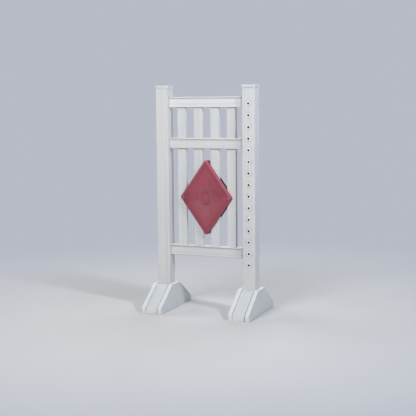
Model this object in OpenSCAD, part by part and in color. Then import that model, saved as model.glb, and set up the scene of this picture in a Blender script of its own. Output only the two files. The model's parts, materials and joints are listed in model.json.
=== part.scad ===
// Show jump wing: two hollow posts joined by three rails, four upright slats and a clamped pair of
// diamond shells, standing on two board feet. Millimetres, +Z up, X along the wing, front towards -Y.
// The origin is on the floor, midway between the posts.

/* [Overall] */
// Height from the floor to the top of the post caps
wing_height = 1524; // [1400:1:1700]
// Width over the outer faces of the posts
wing_width = 711; // [640:1:800]

/* [Posts] */
// Side of the square post
post_w = 88.9; // [82:0.1:96]
// Wall of the hollow post
post_wall = 4.5; // [3:0.5:6]
// Radius of the post's outer corners
post_corner = 5; // [3:0.5:7]
// Gap under the post's lower end
post_lift = 6; // [2:1:15]
// Height of the post cap
cap_height = 18; // [12:1:30]
// Thickness of the cap's flat top
cap_top = 5; // [3:0.5:8]
// How far the cap stands out past the post
cap_overhang = 4; // [3:0.5:8]
// Radius of the cap's upper edge
cap_edge = 3; // [1:0.5:3]
// Wall of the collar that plugs the post
cap_collar_wall = 3; // [2:0.5:4]
// Depth of the collar inside the post
cap_collar_depth = 12; // [6:1:20]
// Least radius of the inner corners of posts, rails and slats
bore_corner = 1; // [0.5:0.1:1.5]

/* [Pin holes] */
// Height of the lowest pin hole above the floor
hole_low = 333; // [300:1:360]
// Spacing of the pin holes
hole_pitch = 76.2; // [70:0.1:90]
// Least distance from the top hole to the top of the wing
hole_top_margin = 118; // [100:1:150]
// Diameter of the pin bore
pin_bore = 14; // [12:0.5:16]
// Wall of the sleeve that lines each hole
sleeve_wall = 2; // [1.5:0.25:3]
// How far the sleeve's flange reaches past its tube
flange_reach = 5; // [2:0.5:6]
// Thickness of the sleeve's flange
flange_t = 1.6; // [1:0.1:3]
// Lead-in chamfer at the mouth of the bore
bore_chamfer = 1; // [0.5:0.1:1.5]

/* [Rails] */
// Height of a rail
rail_h = 72; // [60:1:85]
// Thickness of a rail
rail_t = 38.1; // [34:0.1:46]
// Wall of the hollow rail
rail_wall = 3; // [2:0.5:4]
// Height of the bead along a rail's upper edge
bead_h = 9; // [7:0.5:12]
// How far the bead stands out past a rail's face
bead_out = 6; // [3:0.5:8]
// Radius of the rail's lower corners and of the bead
rail_corner = 3; // [1:0.5:3]
// How far a rail's end reaches into its post
rail_insert = 26; // [18:1:28]
// From the top of the wing down to the top of the top rail
top_rail_drop = 77; // [60:1:100]
// Underside of the bottom rail above the floor
bottom_rail_low = 371; // [330:1:420]

/* [Slats] */
// Width of a slat
slat_w = 63.5; // [50:0.5:70]
// Thickness of a slat
slat_t = 22.2; // [18:0.1:26]
// Wall of the hollow slat
slat_wall = 2.5; // [1.5:0.25:3.5]
// Radius of the slat's corners
slat_corner = 2.5; // [1:0.5:4]
// Gap above a slat inside the top rail
slat_end_gap = 3; // [1:0.5:8]

/* [Diamond shells] */
// Height of the diamond over its tips
diamond_h = 500; // [400:1:560]
// Share of the free height of the panel that is left under the diamond, and over it to the middle rail
diamond_margin_share = 0.217; // [0.15:0.001:0.3]
// Depth of one diamond shell
diamond_t = 20; // [15:0.5:26]
// Wall of the diamond shell
diamond_wall = 4; // [3:0.25:5]
// Radius of the diamond's corners, seen from the front
diamond_corner = 14; // [14:1:20]
// Width of the bevel round the face
bevel_w = 10; // [6:0.5:10.5]
// How far the bevel falls from the face to the side wall
bevel_drop = 7.5; // [4:0.5:8.5]
// How far the side corners reach past the bolts
diamond_reach = 21; // [18:0.5:30]
// From the inner edge of an outer slat to the bolt through it
diamond_bolt_inset = 16; // [14:0.5:22]
// Thickness of the ribs inside the shell
rib_t = 3; // [2:0.5:4]
// Spacing of the level ribs
rib_pitch = 80; // [60:1:100]
// Outer diameter of the bolt boss inside the shell
boss_d = 18; // [14:0.5:20]
// Width of the plain oval rim on the face
oval_w = 60; // [40:1:70]
// Height of the plain oval rim
oval_h = 96; // [76:1:110]
// Width of the rim's round-topped band
oval_band = 11; // [7:0.5:13]
// How far the rim stands proud
oval_rise = 3; // [1.5:0.5:3.5]

/* [Feet] */
// Length of a foot from front toe to rear toe
foot_len = 498; // [440:1:540]
// Height of the foot
foot_h = 170; // [150:1:190]
// Length of the foot's level top
foot_top = 120; // [116:1:160]
// Height of the upright toe
toe_h = 40; // [36:1:55]
// Thickness of a side plate
plate_t = 28; // [20:0.5:34]
// Radius of the plate's corners, seen from the side
plate_corner = 14; // [8:1:18]
// Radius of the plate's eased edges
plate_ease = 3; // [1:0.5:5]
// Thickness of a ramp panel
ramp_t = 16; // [12:0.5:20]
// How far a ramp lies below the edges of the plates
ramp_recess = 8; // [4:0.5:12]

/* [Fasteners] */
// Diameter of the foot bolts
foot_bolt_d = 10; // [8:0.5:12]
// Diameter of the foot bolts' flat heads
foot_head_d = 26; // [22:0.5:30]
// Thickness of the foot bolts' heads
foot_head_t = 3; // [2:0.5:5]
// From the floor to the lower foot bolt, and from the foot's top to the upper one
foot_bolt_inset = 46; // [36:1:56]
// Diameter of the diamond bolts
diamond_bolt_d = 5; // [4:0.5:6]
// Diameter of the diamond bolts' low heads
diamond_head_d = 13; // [12.5:0.5:15]
// Thickness of the diamond bolts' heads
diamond_head_t = 3; // [1.5:0.1:4]
// Wall of a bolt's sleeve nut
nut_wall = 2; // [1.5:0.25:2.5]
// How far a sleeve nut stops short of the bolt's head
nut_end_gap = 3; // [2:0.25:3.5]
// Diameter of the wood-type screws
screw_d = 5; // [4:0.5:6]
// Diameter of the screws' heads
screw_head_d = 10; // [8:0.5:12]
// Thickness of the rail screws' domed heads
screw_head_t = 3; // [2:0.1:4]
// Length of the ramp screws
ramp_screw_len = 56; // [48:1:66]
// From each end of a ramp's slope to its screws
ramp_screw_inset = 32; // [25:1:45]
// How far the rail screws bite past the rail's wall
rail_screw_bite = 9; // [6:1:14]

/* [Fits] */
// Gap all round a rail in its post and a slat in its rail
socket_gap = 0.3; // [0.1:0.1:0.6]
// Gap round a tube or shank in its hole
hole_gap = 0.2; // [0.1:0.05:0.4]
// Gap between a ramp and the plates and post around it
board_gap = 0.8; // [0.2:0.1:1.2]

/* [Hidden] */
$fn = 64;
// How far a cut runs past the face that it opens
cut = 1;
// One slat for each slat node
slat_count = 4;
// Steps round a corner arc and over an eased edge
corner_steps = 8;
edge_steps = 4;
vinyl = "#e4e6e4";
board = "#dfe2e2";
sleeve_white = "#f4f5f2";
rose = "#9c4a58";
rose_coat = "#a8566a";
coated = "#e8e9e8";

// Posts and what lines up with them
post_x = (wing_width - post_w) / 2;
post_inner = wing_width / 2 - post_w;
post_top = wing_height - cap_top;
hole_count = floor((wing_height - hole_top_margin - hole_low) / hole_pitch) + 1;
hole_heights = [for (i = [0 : hole_count - 1]) hole_low + i * hole_pitch];
post_bore = post_w - 2 * post_wall;
post_bore_corner = max(post_corner - post_wall, bore_corner);
sleeve_d = pin_bore + 2 * sleeve_wall;
flange_d = sleeve_d + 2 * flange_reach;

// Rails and slats; the diamond and its margins hold the middle rail at its height
top_rail_low = wing_height - top_rail_drop - rail_h;
bottom_rail_top = bottom_rail_low + rail_h;
diamond_margin = diamond_margin_share * (top_rail_low - rail_h - diamond_h - bottom_rail_top);
middle_rail_low = bottom_rail_top + diamond_h + 2 * diamond_margin;
rail_lows = [top_rail_low, middle_rail_low, bottom_rail_low];
rail_len = 2 * (post_inner + rail_insert);
slat_gap = (2 * post_inner - slat_count * slat_w) / (slat_count + 1);
slat_pitch = slat_w + slat_gap;
slat_low = bottom_rail_low + rail_wall;
slat_len = top_rail_low + rail_h - rail_wall - slat_end_gap - slat_low;
function slat_x(i) = (i - (slat_count + 1) / 2) * slat_pitch;

// Diamond shells, drawn in a plane with the middle of the diamond at zero
diamond_z = bottom_rail_top + diamond_margin + diamond_h / 2;
diamond_bolt_x = slat_x(slat_count) - slat_w / 2 + diamond_bolt_inset;
diamond_half_w = diamond_bolt_x + diamond_reach;
diamond_arcs = [[diamond_half_w - diamond_corner, 0], [0, diamond_h / 2 - diamond_corner],
    [diamond_corner - diamond_half_w, 0], [0, diamond_corner - diamond_h / 2]];
diamond_nut_d = diamond_bolt_d + 2 * (nut_wall + hole_gap);
diamond_grip = 2 * diamond_t + slat_t;

// Feet, drawn from the side with the floor at zero; the outline runs on below, where it is cut off
foot_outline = [[-foot_len / 2, -plate_corner], [foot_len / 2, -plate_corner], [foot_len / 2, toe_h],
    [foot_top / 2, foot_h], [-foot_top / 2, foot_h], [-foot_len / 2, toe_h]];
foot_grip = post_w + 2 * plate_t;
foot_nut_d = foot_bolt_d + 2 * (nut_wall + hole_gap);
foot_bolt_heights = [foot_bolt_inset, foot_h - foot_bolt_inset];
slope = atan2(foot_h - toe_h, (foot_len - foot_top) / 2);
ramp_toe_y = -foot_len / 2 + ramp_recess;
ramp_end_y = -post_w / 2 - board_gap;
// Height of a line parallel to the foot's slope and sunk square to it, at a place along the foot
function sloped_z(y, sunk) = toe_h + (y + foot_len / 2) * tan(slope) - sunk / cos(slope);
// Where such a line meets the level that is sunk as far below the foot's top
function level_y(sunk) = -foot_len / 2 + (foot_h - sunk - toe_h + sunk / cos(slope)) / tan(slope);
ramp_screw_ys = [ramp_toe_y + ramp_screw_inset * cos(slope), ramp_end_y - ramp_screw_inset * cos(slope)];
screw_cone = (screw_head_d - screw_d) / 2;
rail_screw_x = post_inner + rail_insert / 2;
rail_screw_len = (post_w - rail_t) / 2 + rail_wall + rail_screw_bite;

// Points moved square to both edges of a convex outline's corners, inwards
function unit(v) = v / norm(v);
function left_of(v) = [-v[1], v[0]];
function inset(p, by) = [for (i = [0 : len(p) - 1])
    let (before = p[(i + len(p) - 1) % len(p)], after = p[(i + 1) % len(p)],
        n1 = left_of(unit(p[i] - before)), n2 = left_of(unit(after - p[i])))
    p[i] + by * (n1 + n2) / (1 + n1 * n2)];
function heading(a, b) = atan2(b[1] - a[1], b[0] - a[0]);

// A rectangle with round corners, on its centre
module rounded_rect(w, d, r) {
    square([w - 2 * r, d], center = true);
    square([w, d - 2 * r], center = true);
    for (x = [-1, 1], y = [-1, 1])
        translate([x * (w / 2 - r), y * (d / 2 - r)]) circle(r);
}

// The points of a convex outline at one height: an arc of one radius about each of its corner centres
function ring(arcs, radius, z) = [for (i = [0 : len(arcs) - 1])
    let (n = len(arcs), way = heading(arcs[(i + n - 1) % n], arcs[i]),
        turn = (heading(arcs[i], arcs[(i + 1) % n]) - way + 360) % 360)
    for (k = [0 : corner_steps])
    let (a = way - 90 + turn * k / corner_steps)
    [arcs[i][0] + radius * cos(a), arcs[i][1] + radius * sin(a), z]];

// A solid skinned over rings of equally many points, listed from the lowest to the highest
module loft(rings) {
    n = len(rings[0]);
    last = len(rings) - 1;
    polyhedron(points = [for (r = rings) each r], faces = concat(
        [[for (i = [0 : n - 1]) i]],
        [for (k = [0 : last - 1], i = [0 : n - 1])
            [k * n + i, (k + 1) * n + i, (k + 1) * n + (i + 1) % n, k * n + (i + 1) % n]],
        [[for (i = [n - 1 : -1 : 0]) last * n + i]]));
}

// A board with eased edges all round
module eased_board(outline, corner, ease, t) {
    arcs = inset(outline, corner);
    loft(concat(
        [for (k = [0 : edge_steps]) let (a = 90 - 90 * k / edge_steps)
            ring(arcs, corner - ease + ease * cos(a), ease - ease * sin(a))],
        [for (k = [0 : edge_steps]) let (a = 90 * k / edge_steps)
            ring(arcs, corner - ease + ease * cos(a), t - ease + ease * sin(a))]));
}

// The front edge of a moulding as a list of steps from its side wall to its face; each step says how far
// it lies inside the outline and how far below the face
function round_edge(r) = [for (k = [0 : edge_steps])
    let (a = 90 * k / edge_steps) r * [1 - cos(a), 1 - sin(a)]];
function bevel_edge(w, drop) = [[0, drop], [w, 0]];
// The inside of a bevelled edge, which keeps the thickness of the wall all the way round
function inner_bevel(w, drop, wall) = let (a = atan2(drop, w))
    [[wall, drop + wall * tan(45 - a / 2)], [w + wall * tan(a / 2), wall]];

// A solid with straight sides up from a base level and such an edge round its face
module edged_solid(arcs, corner, base, depth, edge) {
    loft(concat([ring(arcs, corner - edge[0][0], base)],
        [for (e = edge) ring(arcs, corner - e[0], depth - e[1])]));
}

// A shallow moulding, open at the back, from the edges of its outside and of its inside
module moulded_shell(arcs, corner, depth, outer, inner) {
    difference() {
        edged_solid(arcs, corner, 0, depth, outer);
        edged_solid(arcs, corner, -cut, depth, inner);
    }
}

// A low head with a shank behind it, along +Z from the face that the head rests on
module headed_shank(head_d, head_t, shank_d, shank_len) {
    dome = head_t / 2;
    rotate_extrude() {
        square([head_d / 2 - dome, head_t]);
        square([head_d / 2, head_t - dome]);
        translate([head_d / 2 - dome, head_t - dome]) intersection() {
            circle(dome);
            square(dome);
        }
        translate([0, -shank_len]) square([shank_d / 2, shank_len]);
    }
}

// The mate of such a bolt: the same head on a tube with a blind bore that takes the bolt's shank
module sleeve_nut(head_d, head_t, bolt_d, tube_len, bore_len) {
    difference() {
        headed_shank(head_d, head_t, bolt_d + 2 * nut_wall + 2 * hole_gap, tube_len);
        translate([0, 0, -tube_len - cut]) cylinder(d = bolt_d + 2 * hole_gap, h = bore_len + cut);
    }
}

// Turns what points along +Z to point along -Y, +Y, +X or -X
module towards_front() { rotate([90, 0, 0]) children(); }
module towards_rear() { rotate([-90, 0, 0]) children(); }
module towards_right() { rotate([0, 90, 0]) children(); }
module towards_left() { rotate([0, -90, 0]) children(); }

// A rail seen from its end, standing on zero, grown by a gap for its socket
module rail_outline(gap = 0) {
    translate([0, rail_h / 2]) rounded_rect(rail_t + 2 * gap, rail_h + 2 * gap, rail_corner + gap);
    translate([0, rail_h - bead_h / 2])
        rounded_rect(rail_t + 2 * bead_out + 2 * gap, bead_h + 2 * gap, rail_corner + gap);
}

// A hollow square post at the right of the wing, with its rail sockets and foot bolt holes
module post_body() {
    difference() {
        translate([post_x, 0, post_lift]) linear_extrude(post_top - post_lift) difference() {
            rounded_rect(post_w, post_w, post_corner);
            rounded_rect(post_bore, post_bore, post_bore_corner);
        }
        for (z = rail_lows)
            translate([post_inner - cut, 0, z]) rotate([90, 0, 90])
                linear_extrude(post_wall + 2 * cut) rail_outline(socket_gap);
        for (z = foot_bolt_heights)
            translate([post_inner - cut, 0, z]) towards_right()
                cylinder(d = foot_nut_d + 2 * hole_gap, h = post_w + 2 * cut);
        for (z = rail_lows)
            translate([rail_screw_x, 0, z + rail_h / 2]) towards_rear()
                cylinder(d = screw_d + 2 * hole_gap, h = post_w);
    }
}

module left_post() { color(vinyl) mirror([1, 0, 0]) post_body(); }

module right_post() {
    color(vinyl) difference() {
        post_body();
        for (z = hole_heights)
            translate([post_x, post_w / 2 + cut, z]) towards_front()
                cylinder(d = sleeve_d + 2 * hole_gap, h = post_w + 2 * cut);
    }
}

// A flat cap that slips over the post, with a collar that plugs its bore
module post_cap(side) {
    skirt = cap_overhang - socket_gap;
    corner = post_corner + cap_overhang;
    half = post_w / 2 - post_corner;
    plug = post_bore - 2 * socket_gap;
    translate([side * post_x, 0, wing_height - cap_height]) {
        moulded_shell([[half, -half], [half, half], [-half, half], [-half, -half]],
            corner, cap_height, round_edge(cap_edge), [[skirt, cap_top]]);
        translate([0, 0, cap_height - cap_top - cap_collar_depth]) linear_extrude(cap_collar_depth)
            difference() {
                rounded_rect(plug, plug, post_bore_corner);
                square(plug - 2 * cap_collar_wall, center = true);
            }
    }
}

module left_post_cap() { color(vinyl) post_cap(-1); }
module right_post_cap() { color(vinyl) post_cap(1); }

// Flanged tubes that line the pin holes from the front face to the rear face of the right post
module pin_sleeves() {
    sleeve_len = post_w + flange_t;
    color(sleeve_white) for (z = hole_heights)
        translate([post_x, -post_w / 2 - flange_t, z]) towards_rear() rotate_extrude() polygon([
            [pin_bore / 2 + bore_chamfer, 0], [flange_d / 2 - flange_t / 2, 0], [flange_d / 2, flange_t / 2],
            [flange_d / 2, flange_t], [sleeve_d / 2, flange_t], [sleeve_d / 2, sleeve_len],
            [pin_bore / 2, sleeve_len], [pin_bore / 2, bore_chamfer]]);
}

// Slat sockets through the upper or lower wall of a rail
module slat_sockets(low, high) {
    for (i = [1 : slat_count])
        translate([slat_x(i), 0, low]) linear_extrude(high - low)
            rounded_rect(slat_w + 2 * socket_gap, slat_t + 2 * socket_gap, slat_corner + socket_gap);
}

// A hollow beaded rail with its ends in both posts
module rail_body(z, open_top, open_bottom) {
    difference() {
        translate([-rail_len / 2, 0, z]) rotate([90, 0, 90]) linear_extrude(rail_len) difference() {
            rail_outline();
            translate([0, rail_h / 2])
                rounded_rect(rail_t - 2 * rail_wall, rail_h - 2 * rail_wall, bore_corner);
        }
        if (open_top) slat_sockets(z + rail_h / 2, z + rail_h + cut);
        if (open_bottom) slat_sockets(z - cut, z + rail_h / 2);
        for (x = [-rail_screw_x, rail_screw_x])
            translate([x, 0, z + rail_h / 2]) towards_rear() cylinder(d = screw_d + hole_gap, h = rail_t);
    }
}

module top_rail() { color(vinyl) rail_body(top_rail_low, false, true); }
module middle_rail() { color(vinyl) rail_body(middle_rail_low, true, true); }
module bottom_rail() { color(vinyl) rail_body(bottom_rail_low, true, false); }

// A hollow slat; the outer two are drilled for the diamond bolts
module slat(i) {
    outer = i == 1 || i == slat_count;
    color(vinyl) difference() {
        translate([slat_x(i), 0, slat_low]) linear_extrude(slat_len) difference() {
            rounded_rect(slat_w, slat_t, slat_corner);
            rounded_rect(slat_w - 2 * slat_wall, slat_t - 2 * slat_wall, bore_corner);
        }
        if (outer)
            translate([sign(slat_x(i)) * diamond_bolt_x, slat_t / 2 + cut, diamond_z]) towards_front()
                cylinder(d = diamond_nut_d + 2 * hole_gap, h = slat_t + 2 * cut);
    }
}

// A round-ended oval rim on its centre, standing on zero: a low arched band, sunk by a little to root it
module oval_rim(w, h, band, rise, sunk) {
    arch = (band * band / 4 + rise * rise) / (2 * rise);
    reach = (w - band) / 2;
    straight = h - w;
    for (end = [0, 180])
        rotate([0, 0, end]) translate([0, straight / 2, 0]) rotate_extrude(angle = 180)
            translate([reach, 0]) arched_band(band, arch, rise, sunk);
    for (side = [-1, 1])
        translate([side * reach, straight / 2, 0]) rotate([90, 0, 0])
            linear_extrude(straight) arched_band(band, arch, rise, sunk);
}
module arched_band(band, arch, rise, sunk) {
    intersection() {
        translate([0, rise - arch]) circle(arch);
        translate([-band / 2, -sunk]) square([band, rise + sunk]);
    }
}

// One diamond shell, its back on zero and its face towards +Z, with ribs, bosses and a plain oval rim
module diamond_shell() {
    edge = bevel_edge(bevel_w, bevel_drop);
    root = diamond_wall / 2;
    rib_rows = floor((diamond_h / 2 - diamond_corner) / rib_pitch);
    difference() {
        union() {
            moulded_shell(diamond_arcs, diamond_corner, diamond_t, edge,
                inner_bevel(bevel_w, bevel_drop, diamond_wall));
            intersection() {
                edged_solid(diamond_arcs, diamond_corner - root, 0, diamond_t - root, edge);
                linear_extrude(diamond_t) {
                    for (i = [2 : slat_count - 1])
                        translate([slat_x(i), 0]) square([rib_t, diamond_h], center = true);
                    for (k = [-rib_rows : rib_rows])
                        translate([0, k * rib_pitch]) square([2 * diamond_half_w, rib_t], center = true);
                    for (side = [-1, 1])
                        translate([side * diamond_bolt_x, 0]) circle(d = boss_d);
                }
            }
            translate([0, 0, diamond_t]) oval_rim(oval_w, oval_h, oval_band, oval_rise, root);
        }
        for (side = [-1, 1])
            translate([side * diamond_bolt_x, 0, -cut])
                cylinder(d = diamond_nut_d + 2 * hole_gap, h = diamond_t + 2 * cut);
    }
}

module front_diamond() {
    color(rose) translate([0, -slat_t / 2, diamond_z]) towards_front() diamond_shell();
}
module rear_diamond() { color(rose) mirror([0, 1, 0]) front_diamond(); }

// Bolts in the side corners of the diamonds, headed at the front, and their sleeve nuts from the rear
module diamond_bolts() {
    color(rose_coat) for (side = [-1, 1])
        translate([side * diamond_bolt_x, -diamond_grip / 2, diamond_z]) towards_front()
            headed_shank(diamond_head_d, diamond_head_t, diamond_bolt_d, diamond_grip / 2);
}
module diamond_sleeve_nuts() {
    color(rose_coat) for (side = [-1, 1])
        translate([side * diamond_bolt_x, diamond_grip / 2, diamond_z]) towards_rear()
            sleeve_nut(diamond_head_d, diamond_head_t, diamond_bolt_d,
                diamond_grip - nut_end_gap, diamond_grip / 2);
}

// A foot's outer side plate at the right of the wing, square at the floor, drilled for bolts and screws
module foot_plate() {
    face_x = post_x + post_w / 2;
    difference() {
        translate([face_x, 0, 0]) rotate([90, 0, 90])
            eased_board(foot_outline, plate_corner, plate_ease, plate_t);
        translate([face_x - cut, -foot_len / 2 - cut, -plate_corner - cut])
            cube([plate_t + 2 * cut, foot_len + 2 * cut, plate_corner + cut]);
        for (z = foot_bolt_heights)
            translate([face_x - cut, 0, z]) towards_right() {
                cylinder(d = foot_nut_d + 2 * hole_gap, h = plate_t + 2 * cut);
                translate([0, 0, plate_t + cut - foot_head_t])
                    cylinder(d = foot_head_d + 2 * hole_gap, h = foot_head_t + cut);
            }
        for (side = [-1, 1], y = ramp_screw_ys)
            translate([face_x + plate_t, side * y, sloped_z(y, ramp_recess + ramp_t / 2)]) towards_left() {
                cylinder(d = screw_d + 2 * hole_gap, h = plate_t + cut);
                translate([0, 0, -cut])
                    cylinder(d1 = screw_head_d + 2 * cut, d2 = screw_d, h = screw_cone + cut);
            }
    }
}

// Carries what is drawn on the outer side of the right foot to any of the four plates
module at_plate(left, inner) {
    mirror([left ? 1 : 0, 0, 0]) translate([inner ? 2 * post_x : 0, 0, 0])
        mirror([inner ? 1 : 0, 0, 0]) children();
}

module left_foot_outer_plate() { color(board) at_plate(true, false) foot_plate(); }
module left_foot_inner_plate() { color(board) at_plate(true, true) foot_plate(); }
module right_foot_outer_plate() { color(board) at_plate(false, false) foot_plate(); }
module right_foot_inner_plate() { color(board) at_plate(false, true) foot_plate(); }

// A sloping panel with an upright toe and a level top, between the plates in front of the right post
module foot_ramp() {
    width = post_w - 2 * board_gap;
    toe_back = ramp_toe_y + ramp_t;
    under = ramp_recess + ramp_t;
    difference() {
        translate([post_x - width / 2, 0, 0]) rotate([90, 0, 90]) linear_extrude(width) polygon([
            [ramp_toe_y, 0], [toe_back, 0], [toe_back, sloped_z(toe_back, under)],
            [level_y(under), foot_h - under], [ramp_end_y, foot_h - under],
            [ramp_end_y, foot_h - ramp_recess], [level_y(ramp_recess), foot_h - ramp_recess],
            [ramp_toe_y, sloped_z(ramp_toe_y, ramp_recess)]]);
        for (side = [-1, 1], y = ramp_screw_ys)
            translate([post_x + side * (post_w / 2 + plate_t), y, sloped_z(y, ramp_recess + ramp_t / 2)])
                rotate([0, -side * 90, 0]) cylinder(d = screw_d + hole_gap, h = ramp_screw_len + hole_gap);
    }
}

module right_foot_front_ramp() { color(board) foot_ramp(); }
module right_foot_rear_ramp() { color(board) mirror([0, 1, 0]) foot_ramp(); }
module left_foot_front_ramp() { color(board) mirror([1, 0, 0]) foot_ramp(); }
module left_foot_rear_ramp() { color(board) mirror([1, 0, 0]) mirror([0, 1, 0]) foot_ramp(); }

// Bolts through plates and posts, heads flush in the outer plates, sleeve nuts from the inner plates
module foot_bolts() {
    color(coated) for (left = [true, false], z = foot_bolt_heights)
        at_plate(left, false) translate([post_x + foot_grip / 2 - foot_head_t, 0, z]) towards_right()
            headed_shank(foot_head_d, foot_head_t, foot_bolt_d, foot_grip / 2);
}
module foot_sleeve_nuts() {
    color(coated) for (left = [true, false], z = foot_bolt_heights)
        at_plate(left, true) translate([post_x + foot_grip / 2 - foot_head_t, 0, z]) towards_right()
            sleeve_nut(foot_head_d, foot_head_t, foot_bolt_d,
                foot_grip - 2 * foot_head_t - nut_end_gap, foot_grip / 2);
}

// Countersunk screws through the plates into the edges of the ramps
module ramp_screws() {
    color(coated) for (left = [true, false], inner = [true, false], side = [-1, 1], y = ramp_screw_ys)
        at_plate(left, inner)
            translate([post_x + post_w / 2 + plate_t, side * y, sloped_z(y, ramp_recess + ramp_t / 2)])
                towards_left() rotate_extrude() polygon([[0, 0], [screw_head_d / 2, 0],
                    [screw_d / 2, screw_cone], [screw_d / 2, ramp_screw_len - screw_d],
                    [0, ramp_screw_len]]);
}

// Dome-headed screws from the rear faces of the posts into the rear walls of the rails
module rail_screws() {
    color(coated) for (side = [-1, 1], z = rail_lows)
        translate([side * rail_screw_x, post_w / 2, z + rail_h / 2]) towards_rear()
            headed_shank(screw_head_d, screw_head_t, screw_d, rail_screw_len);
}

left_post();
right_post();
left_post_cap();
right_post_cap();
top_rail();
middle_rail();
bottom_rail();
slat(1);  // slat_1
slat(2);  // slat_2
slat(3);  // slat_3
slat(4);  // slat_4
front_diamond();
rear_diamond();
diamond_bolts();
diamond_sleeve_nuts();
pin_sleeves();
left_foot_outer_plate();
left_foot_inner_plate();
left_foot_front_ramp();
left_foot_rear_ramp();
right_foot_outer_plate();
right_foot_inner_plate();
right_foot_front_ramp();
right_foot_rear_ramp();
foot_bolts();
foot_sleeve_nuts();
ramp_screws();
rail_screws();
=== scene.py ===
import json
import bpy
import numpy as np
from mathutils import Matrix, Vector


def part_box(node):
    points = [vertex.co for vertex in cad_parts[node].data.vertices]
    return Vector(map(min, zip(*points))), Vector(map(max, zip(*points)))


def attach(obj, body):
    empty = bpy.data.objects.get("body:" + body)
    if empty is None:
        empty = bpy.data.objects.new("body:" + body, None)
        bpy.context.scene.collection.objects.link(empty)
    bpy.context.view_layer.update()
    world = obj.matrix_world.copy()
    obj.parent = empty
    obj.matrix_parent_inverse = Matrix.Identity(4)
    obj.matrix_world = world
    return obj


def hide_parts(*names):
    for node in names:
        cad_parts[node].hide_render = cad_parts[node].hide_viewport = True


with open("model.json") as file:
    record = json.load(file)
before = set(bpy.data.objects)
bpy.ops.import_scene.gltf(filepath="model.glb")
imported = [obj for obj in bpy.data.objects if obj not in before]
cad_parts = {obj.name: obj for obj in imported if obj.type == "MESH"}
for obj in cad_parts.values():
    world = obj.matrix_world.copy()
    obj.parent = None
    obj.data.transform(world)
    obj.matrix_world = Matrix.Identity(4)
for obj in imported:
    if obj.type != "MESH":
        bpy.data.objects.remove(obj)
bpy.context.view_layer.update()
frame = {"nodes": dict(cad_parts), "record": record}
scene = bpy.context.scene
record = frame["record"]
print("frame loaded:", len(frame["nodes"]), "nodes")


# Node trees

def toLinear(shade):
    # the sRGB curve undone for each channel, with full opacity added
    shade = np.array(shade, float)
    low = shade / 12.92
    high = ((shade + 0.055) / 1.055) ** 2.4
    return (*np.where(shade <= 0.04045, low, high), 1.0)


def putNode(tree, kind, inputs=None, **settings):
    # one node; an input that is a socket is linked, anything else is set as its value
    node = tree.nodes.new(kind)
    for name, value in settings.items():
        setattr(node, name, value)
    for name, value in (inputs or {}).items():
        if isinstance(value, bpy.types.NodeSocket):
            tree.links.new(value, node.inputs[name])
        else:
            node.inputs[name].default_value = value
    return node


def mathNode(tree, operation, first, second=0.0, third=0.0):
    inputs = {0: first, 1: second, 2: third}
    return putNode(tree, "ShaderNodeMath", inputs, operation=operation).outputs[0]


def times(tree, first, second):
    return mathNode(tree, "MULTIPLY", first, second)


def either(tree, first, second):
    # the larger of two values
    return mathNode(tree, "MAXIMUM", first, second)


def offFrom(tree, value, at):
    # how far a value is from a place, to either side
    return mathNode(tree, "ABSOLUTE", mathNode(tree, "SUBTRACT", value, at))


def crossLength(tree, first, second):
    # the root of the sum of two squares
    squares = [mathNode(tree, "POWER", value, 2.0) for value in (first, second)]
    return mathNode(tree, "SQRT", mathNode(tree, "ADD", *squares))


def mixShades(tree, share, first, second):
    # inputs 0, 6 and 7 are the share and the two colours
    inputs = {0: share, 6: first, 7: second}
    return putNode(tree, "ShaderNodeMix", inputs, data_type="RGBA").outputs[2]


def tint(tree, share, tone, shade):
    # a tone that turns by a share into a shade, which is written in sRGB
    return mixShades(tree, share, tone, toLinear(shade))


def remap(tree, value, low, high, toLow=0.0, toHigh=1.0):
    # a value carried smoothly from one range to another and held at the ends
    inputs = {"Value": value, "From Min": low, "From Max": high, "To Min": toLow, "To Max": toHigh}
    node = putNode(tree, "ShaderNodeMapRange", inputs, interpolation_type="SMOOTHSTEP")
    return node.outputs["Result"]


def noiseField(tree, place, waves, detail=2.0, rough=0.5):
    # noise on the piece's own coordinates, with so many waves per metre along X, Y and Z
    moved = putNode(tree, "ShaderNodeMapping", {"Vector": place, "Scale": waves}).outputs[0]
    inputs = {"Vector": moved, "Scale": 1.0, "Detail": detail, "Roughness": rough}
    return putNode(tree, "ShaderNodeTexNoise", inputs).outputs[0]


def drawnNoise(tree, place, spacing, length, along):
    # noise drawn out along one axis: its waves per metre are one over the spacing or the length
    waves = np.full(3, 1.0 / spacing)
    waves["XYZ".index(along)] = 1.0 / length
    return noiseField(tree, place, tuple(waves), detail=1.0)


def startFinish(name):
    # a shader with its output, the piece's own coordinates and their three axes
    material = bpy.data.materials.new(name)
    material.use_nodes = True
    tree = material.node_tree
    tree.nodes.clear()
    shader = putNode(tree, "ShaderNodeBsdfPrincipled")
    output = putNode(tree, "ShaderNodeOutputMaterial")
    tree.links.new(shader.outputs[0], output.inputs[0])
    place = putNode(tree, "ShaderNodeTexCoord").outputs["Object"]
    axes = putNode(tree, "ShaderNodeSeparateXYZ", {0: place}).outputs
    return material, tree, shader, place, axes


def coverWith(tree, shader, tone, gloss, specular):
    # the tone and the gloss vary, and the specular level is the same all over
    tree.links.new(tone, shader.inputs["Base Color"])
    tree.links.new(gloss, shader.inputs["Roughness"])
    shader.inputs["Specular IOR Level"].default_value = specular


def bumpOn(tree, shader, height, depth):
    # a height from 0 to 1 becomes a relief of the given depth in metres
    inputs = {"Height": height, "Distance": depth, "Strength": 1.0}
    bump = putNode(tree, "ShaderNodeBump", inputs)
    tree.links.new(bump.outputs[0], shader.inputs["Normal"])


def shadeLines(tree, axes, seams):
    # painted shade: the strongest of several thin lines, each round a place on one axis
    worst = 0.0
    for axis, at, reach, share in seams:
        line = remap(tree, offFrom(tree, axes[axis], at), reach, 0.0, 0.0, share)
        worst = either(tree, worst, line)
    return worst


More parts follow.
